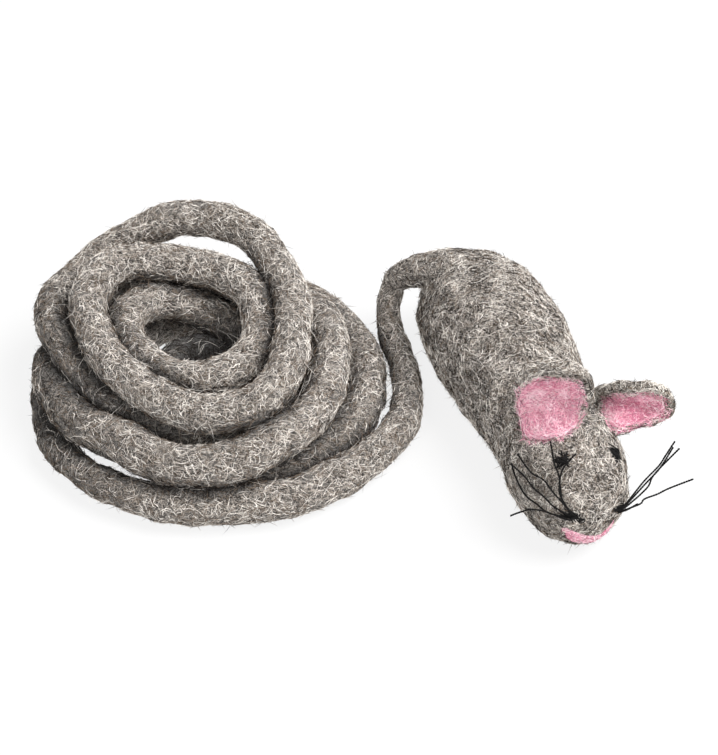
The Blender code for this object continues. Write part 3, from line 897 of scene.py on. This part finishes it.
def make_ear(side):
    """The felt and the pink lining of one ear, and two points below and above its hinge."""
    ear = EARS[side]
    cup = Cup(ear)
    front = [cup.front(share) for share in EAR_SHARES]
    back = [cup.middle(share) - cup.normal(share) * cup.wall(share) for share in EAR_SHARES]
    tip = cup.centre - cup.lean * cup.depth
    half_wall = cup.lean * EAR_WALL * MM / 2
    points, faces = shell(front + [cup.rim], back, tip + half_wall, tip - half_wall)
    outward = unit(points - cup.centre)
    swell = unevenness(points, EAR_LUMPS, ear["seed"])
    felt = mesh_piece(f"felt_ear_{side}", points + outward * swell[:, None] * MM, faces, [GREY_FELT])
    top, under = [], []
    for share in EAR_SHARES:
        reach = share * cup.pink
        normal = cup.normal(reach)
        ripple = RIPPLE * lumps(cup.front(reach), RIPPLE_SIZE, ear["seed"] + 3)[:, None] * (1 - share**4)
        rise = LINING_GAP + ripple + LINING_WALL * math.sqrt(1 - share**4)
        top.append(cup.front(reach) + normal * rise * MM)
        under.append(cup.front(reach) - normal * LINING_SINK * MM)
    front_tip = tip + cup.lean * (EAR_WALL / 2 + LINING_WALL + LINING_GAP) * MM
    thickness = LINING_WALL + LINING_GAP + LINING_SINK
    points, faces = shell(top, under, front_tip, front_tip - cup.lean * thickness * MM)
    lining = mesh_piece(f"felt_ear_lining_{side}", points, faces, [PINK_FELT])
    hinge = np.array(joints[ear["hinge"]]["pos_m"])
    up = np.array(ear["up"]) / np.linalg.norm(ear["up"])
    bend = hinge - up * BEND_BELOW * MM, hinge + up * BEND_ABOVE * MM
    for piece, node, slot in ((felt, "ear_felt", "grey_felt"), (lining, "ear_lining", "pink_felt")):
        outward_faces(piece)
        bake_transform(piece)
        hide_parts(f"{node}_{side}")
    return felt, lining, bend


# ---------- face

# Mouth, seen from the front: (across, height) along its upper and its lower edge
MOUTH_UPPER = ((-13.8, 18.8), (-10.8, 17.6), (-7, 15), (-2.2, 12.8), (2, 12.2), (4.6, 12.9), (6.4, 14.2))
MOUTH_LOWER = ((-14.2, 17), (-11.8, 12), (-8.2, 8.6), (-3.2, 8), (1.4, 9.2), (4.6, 11.2), (6.8, 13.8))
MOUTH_RISE, MOUTH_SINK, MOUTH_TAPER = 0.5, 0.6, 2.5
MOUTH_LUMP, MOUTH_LUMP_SIZE = 0.12, 0.004
MOUTH_ROWS = 11
IN_FRONT = -0.2  # a place well in front of the nose, from which the face is felt for


def make_mouth(tree):
    upper = catmull_rom([(x, 0.0, z) for x, z in MOUTH_UPPER], 8)
    lower = catmull_rom([(x, 0.0, z) for x, z in MOUTH_LOWER], 8)
    over, under = [], []
    for share in np.linspace(0, 1, MOUTH_ROWS):
        high, low = [], []
        for k, (a, b) in enumerate(zip(upper, lower)):
            x, _, z = a + (b - a) * share
            end = math.sin(math.pi * min(1.0, max(0.0, k / (len(upper) - 1))))
            rise = MOUTH_RISE * math.sqrt(max(0.0, 1 - (2 * share - 1) ** 2)) * min(1.0, MOUTH_TAPER * end)
            start = Vector(at((x, 0.0, z)))
            start.y = IN_FRONT
            place, normal, _, _ = tree.ray_cast(start, Vector((0.0, 1.0, 0.0)))
            high.append(np.array(place) + np.array(normal) * rise * MM)
            low.append(np.array(place) - np.array(normal) * MOUTH_SINK * MM)
        over.append(np.array(high))
        under.append(np.array(low))
    rings = [np.vstack([high, low[::-1]]) for high, low in zip(over, under)]
    sides = len(rings[0])
    faces = ring_faces(len(rings), sides)
    half = sides // 2
    for first in (0, (len(rings) - 1) * sides):
        for j in range(half - 1):
            faces.append((first + j, first + j + 1, first + sides - 2 - j, first + sides - 1 - j))
    points = np.vstack(rings)
    points[:, 1] -= MOUTH_LUMP * MM * lumps(points, MOUTH_LUMP_SIZE, 81)
    mouth = mesh_piece("felt_mouth", points, faces, [PINK_FELT])
    outward_faces(mouth)
    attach(mouth, "mouse")
    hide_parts("mouth_patch")
    return mouth


def merged(name, parts, materials):
    """One mesh piece from several closed meshes."""
    points, faces, start = [], [], 0
    for some_points, some_faces in parts:
        points.append(some_points)
        faces += [tuple(start + i for i in face) for face in some_faces]
        start += len(some_points)
    return mesh_piece(name, np.vstack(points), faces, materials)


# Knots of black stitches, each with the node it stands for, its middle, the way it runs, its half length and
# half width, the number of stitches, their seed, and how far they turn from its way
KNOTS = {
    "eye_knot_right": ("eye_right", (-8.4, -46.9, 35.6), (1.0, 0.3, 0.0), (3.4, 3.1), 22, 91, 3.2),
    "eye_knot_left": ("eye_left", (12.8, -48.2, 31.6), (0.6, -0.9, -0.6), (3.5, 2.6), 20, 92, 0.6),
    "stitches_right": (
        "whisker_stitch_right", (-10.6, -62.2, 22.8), (0.8, -0.55, -0.2), (4.6, 2.3), 26, 93, 0.6,
    ),
    "stitches_left": ("whisker_stitch_left", (8.8, -62.6, 18.8), (0.8, -0.3, 0.4), (3.0, 1.8), 14, 94, 0.6),
}
# One stitch: the height of its arch, the depth of its ends, its radius, its share of the knot's half length,
# and how far it is shifted and bent
STITCH_LIFT, STITCH_SINK, STITCH_RADIUS = (0.2, 1.3), 0.25, (0.20, 0.32)
STITCH_SHARE, STITCH_SHIFT, STITCH_BEND = (0.55, 1.05), 0.35, 0.25


def tangle(name, tree, node, centre, along, reach, count, seed, spread):
    """A knot of short black stitches on the skin."""
    rng = np.random.default_rng(seed)
    middle, normal, _, _ = tree.find_nearest(Vector(at(centre)))
    middle, normal = np.array(middle), np.array(normal)
    along = np.array(along) - normal * (normal @ np.array(along))
    along /= np.linalg.norm(along)
    across = np.cross(normal, along)
    parts = []
    for _ in range(count):
        turn = rng.normal(0, spread)
        a = np.array((math.cos(turn), math.sin(turn)))
        shift = rng.uniform(-STITCH_SHIFT, STITCH_SHIFT, 2)
        steps = np.linspace(-1, 1, 7)
        bend = rng.normal(0, STITCH_BEND)
        flat = np.outer(steps, a) + shift + np.outer(1 - steps**2, (-a[1], a[0])) * bend
        length = rng.uniform(*STITCH_SHARE)
        flat = flat * length * np.array(reach)
        height = rng.uniform(*STITCH_LIFT) * (1 - steps**2) - STITCH_SINK
        line = []
        for (u, v), h in zip(flat, height):
            point = Vector(middle + (along * u + across * v) * MM)
            place, way, _, _ = tree.find_nearest(point)
            line.append(np.array(place) + np.array(way) * h * MM)
        parts.append(tube_arrays(catmull_rom(line, 2), rng.uniform(*STITCH_RADIUS) * MM, 6))
    made = merged(name, parts, [THREAD])
    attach(made, "mouse")
    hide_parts(node)


# Whiskers: each is one twisted sewing thread, from its root to its tip
WHISKERS = {
    "right_1": (
        (-10.6, -62, 23.6), (-12.2, -61.6, 26.4), (-13.5, -58.5, 29.5), (-13, -55, 33.5), (-12.5, -52, 36),
        (-12.5, -48.5, 37.5), (-11, -41.5, 41),
    ),
    "right_2": (
        (-10, -62.6, 23.4), (-12, -62.6, 26), (-14, -57.5, 31), (-13, -54.5, 34.5), (-11, -52, 37),
        (-7.5, -50.5, 39.5), (-5, -49.5, 40.5),
    ),
    "right_3": (
        (-9.6, -62.6, 23.4), (-12, -62, 26.6), (-16, -56, 31.5), (-17.5, -51.5, 33.5), (-20.5, -46.5, 34),
        (-22, -38.5, 35.5),
    ),
    "right_4": (
        (-10.6, -62, 23), (-12.8, -62.5, 25.2), (-17, -59, 27.5), (-19, -55.5, 29.5), (-21.5, -51, 31),
        (-22.5, -46.5, 32), (-24.5, -39.5, 32),
    ),
    "right_5": (
        (-10.8, -62, 22.6), (-14, -62.2, 24), (-19, -59, 25), (-21.5, -55.5, 26.5), (-24, -51, 27.5),
        (-24.5, -46.5, 28.5), (-24.5, -42, 30), (-24, -38.5, 31),
    ),
    "right_6": (
        (-9.4, -62.6, 22.2), (-12.6, -63.4, 23), (-17, -60.5, 24.5), (-20, -58.5, 25.5), (-24, -56, 25.5),
        (-27.5, -54, 23), (-30, -52.5, 20.5),
    ),
    "left_1": (
        (7.6, -62.6, 18.6), (10.4, -62.6, 20.4), (19, -59, 25.5), (26, -56.5, 28.5), (29.5, -54.5, 30.5),
        (34.5, -51.5, 33),
    ),
    "left_2": (
        (7.6, -62.6, 18), (10.6, -62.6, 19.8), (19.5, -59.5, 24.5), (26, -57.5, 28.5), (32, -54.5, 34),
    ),
    "left_3": ((7.8, -62.8, 17.8), (10.8, -62.8, 19.2), (19.5, -61, 24), (23, -59, 28), (32.5, -57.5, 36.5)),
    "left_4": (
        (7.8, -62.8, 17.4), (15.5, -64, 20), (17.5, -63.5, 21.5), (22, -64.5, 23.5), (26, -65, 25.5),
        (34, -67, 29.5),
    ),
    "left_5": ((7.8, -62.8, 17), (11.4, -63.4, 18.2), (15, -63.6, 20)),
}
PLY_RADIUS, PLY_OFFSET, PLY_PITCH = 0.23, 0.18, 1.8
WHISKER_STEP = 0.4


def make_whisker(name, stations):
    """A thread of two plies that wind around each other."""
    path = resample(catmull_rom(stations, 8), WHISKER_STEP)
    _, first, second = turning_frames(path)
    along = np.arange(len(path)) * WHISKER_STEP
    parts = []
    for start in (0.0, math.pi):
        turn = (along / PLY_PITCH * 2 * math.pi + start)[:, None]
        ply = path + (first * np.cos(turn) + second * np.sin(turn)) * PLY_OFFSET
        parts.append(tube_arrays(at(ply), PLY_RADIUS * MM, 5))
    made = merged(f"thread_{name}", parts, [THREAD])
    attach(made, "mouse")
    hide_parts(f"whisker_{name}")


# ---------- stage

FLOOR_SHADE, FLOOR_GLOW, FLOOR_HALF = 0.12, 0.82, 3.0
SKY_STRENGTH = 0.36
LIGHTS_AIM = (-0.06, 0.03, 0.0)
# Name, place, size and power of each lamp
LAMPS = (
    ("key", (0.60, -0.15, 1.0), 1.0, 25.0),
    ("fill", (-0.6, -0.7, 0.7), 1.0, 7.0),
)


def make_stage():
    white = bpy.data.materials.new("floor")
    white.use_nodes = True
    shader = white.node_tree.nodes["Principled BSDF"]
    finish_as(shader, Base_Color=(*[FLOOR_SHADE] * 3, 1.0), Roughness=0.9)
    finish_as(shader, Emission_Color=(1.0, 1.0, 1.0, 1.0), Emission_Strength=FLOOR_GLOW)
    corners = [(x * FLOOR_HALF, y * FLOOR_HALF, 0.0) for x, y in ((-1, -1), (1, -1), (1, 1), (-1, 1))]
    floor = mesh_piece("floor", corners, [(0, 1, 2, 3)], [white], False)


def area_light(name, place, aim, size, power):
    data = bpy.data.lights.new(name, "AREA")
    data.shape, data.size, data.energy = "DISK", size, power
    lamp = bpy.data.objects.new(name, data)
    bpy.context.scene.collection.objects.link(lamp)
    lamp.location = place
    lamp.rotation_mode = "QUATERNION"
    lamp.rotation_quaternion = (Vector(aim) - Vector(place)).to_track_quat("-Z", "Y")


def make_lights():
    world = bpy.data.worlds.new("studio")
    world.use_nodes = True
    sky = world.node_tree.nodes["Background"]
    finish_as(sky, Color=(1.0, 1.0, 1.0, 1.0), Strength=SKY_STRENGTH)
    bpy.context.scene.world = world
    bpy.context.scene.view_settings.view_transform = "Standard"
    for name, place, size, power in LAMPS:
        area_light(name, place, LIGHTS_AIM, size, power)


# ---------- the scene

make_camera()
rope, hemmed = make_rope()
body = make_body()
root = make_tail_root()
ears = {side: make_ear(side) for side in EARS}
skin = skin_tree(body)
mouth = make_mouth(skin)
for name, knot in KNOTS.items():
    tangle(name, skin, *knot)
for name, stations in WHISKERS.items():
    make_whisker(name, stations)
for node, inside in (("wool_core", CORE_WOOL), ("whisker_anchor", THREAD)):
    for holder in frame["nodes"][node].material_slots:
        holder.material = inside
# The rope's fibres carry painted shade: dark ones deep between strands and in the coil's well
for number in range(4):
    details = 16500, GREY_FIBRES, ROPE_SHARES, 31 + number
    wool("grey_felt", "tail", f"rope_fibres_{number + 1}", rope, *details, hemmed=hemmed)
strays = GREY_FIBRES, STRAY_SHARES
wool("grey_felt", "tail", "rope_stray_fibres", rope, 3000, *strays, 35, (6, 15), (0.09, 0.17), 1.0, 6)
wool("grey_felt", "mouse", "body_stray_fibres", body, 1100, *strays, 36, (6, 14), (0.09, 0.17), 0.9, 6)
details = 20000, GREY_FIBRES, GREY_SHARES, 41, (2.6, 6.2), (0.15, 0.33)
wool("grey_felt", "mouse", "body_fibres", body, *details)
across_root = "mouse", "tail", *TAIL_BEND
wool("grey_felt", across_root, "tail_root_fibres", root, 2600, GREY_FIBRES, GREY_SHARES, 42)
for number, (side, (felt, lining, bend)) in enumerate(ears.items()):
    across_ear = "mouse", f"ear_{side}", *bend
    pink = PINK_FIBRES, PINK_SHARES[side]
    edge = skin_tree(lining), *PINK_EDGE
    grey = GREY_FIBRES, EAR_FIBRE_SHARES
    wool("grey_felt", across_ear, f"ear_fibres_{side}", felt, 3000, *grey, 43 + number)
    wool("pink_felt", across_ear, f"ear_lining_fibres_{side}", lining, 2200, *pink, 45 + number)
    edge_wool = 5000, *pink, 48 + number, (2, 4.5)
    wool("pink_felt", across_ear, f"ear_edge_fibres_{side}", felt, *edge_wool, near=edge)
    foot_wool = 30000, *pink, 50 + number, (2, 5)
    wool("pink_felt", "mouse", f"ear_foot_fibres_{side}", body, *foot_wool, near=edge)
wool("pink_felt", "mouse", "mouth_fibres", mouth, 500, PINK_FIBRES, PINK_SHARES["right"], 47, (1.6, 3.6))
make_stage()
make_lights()
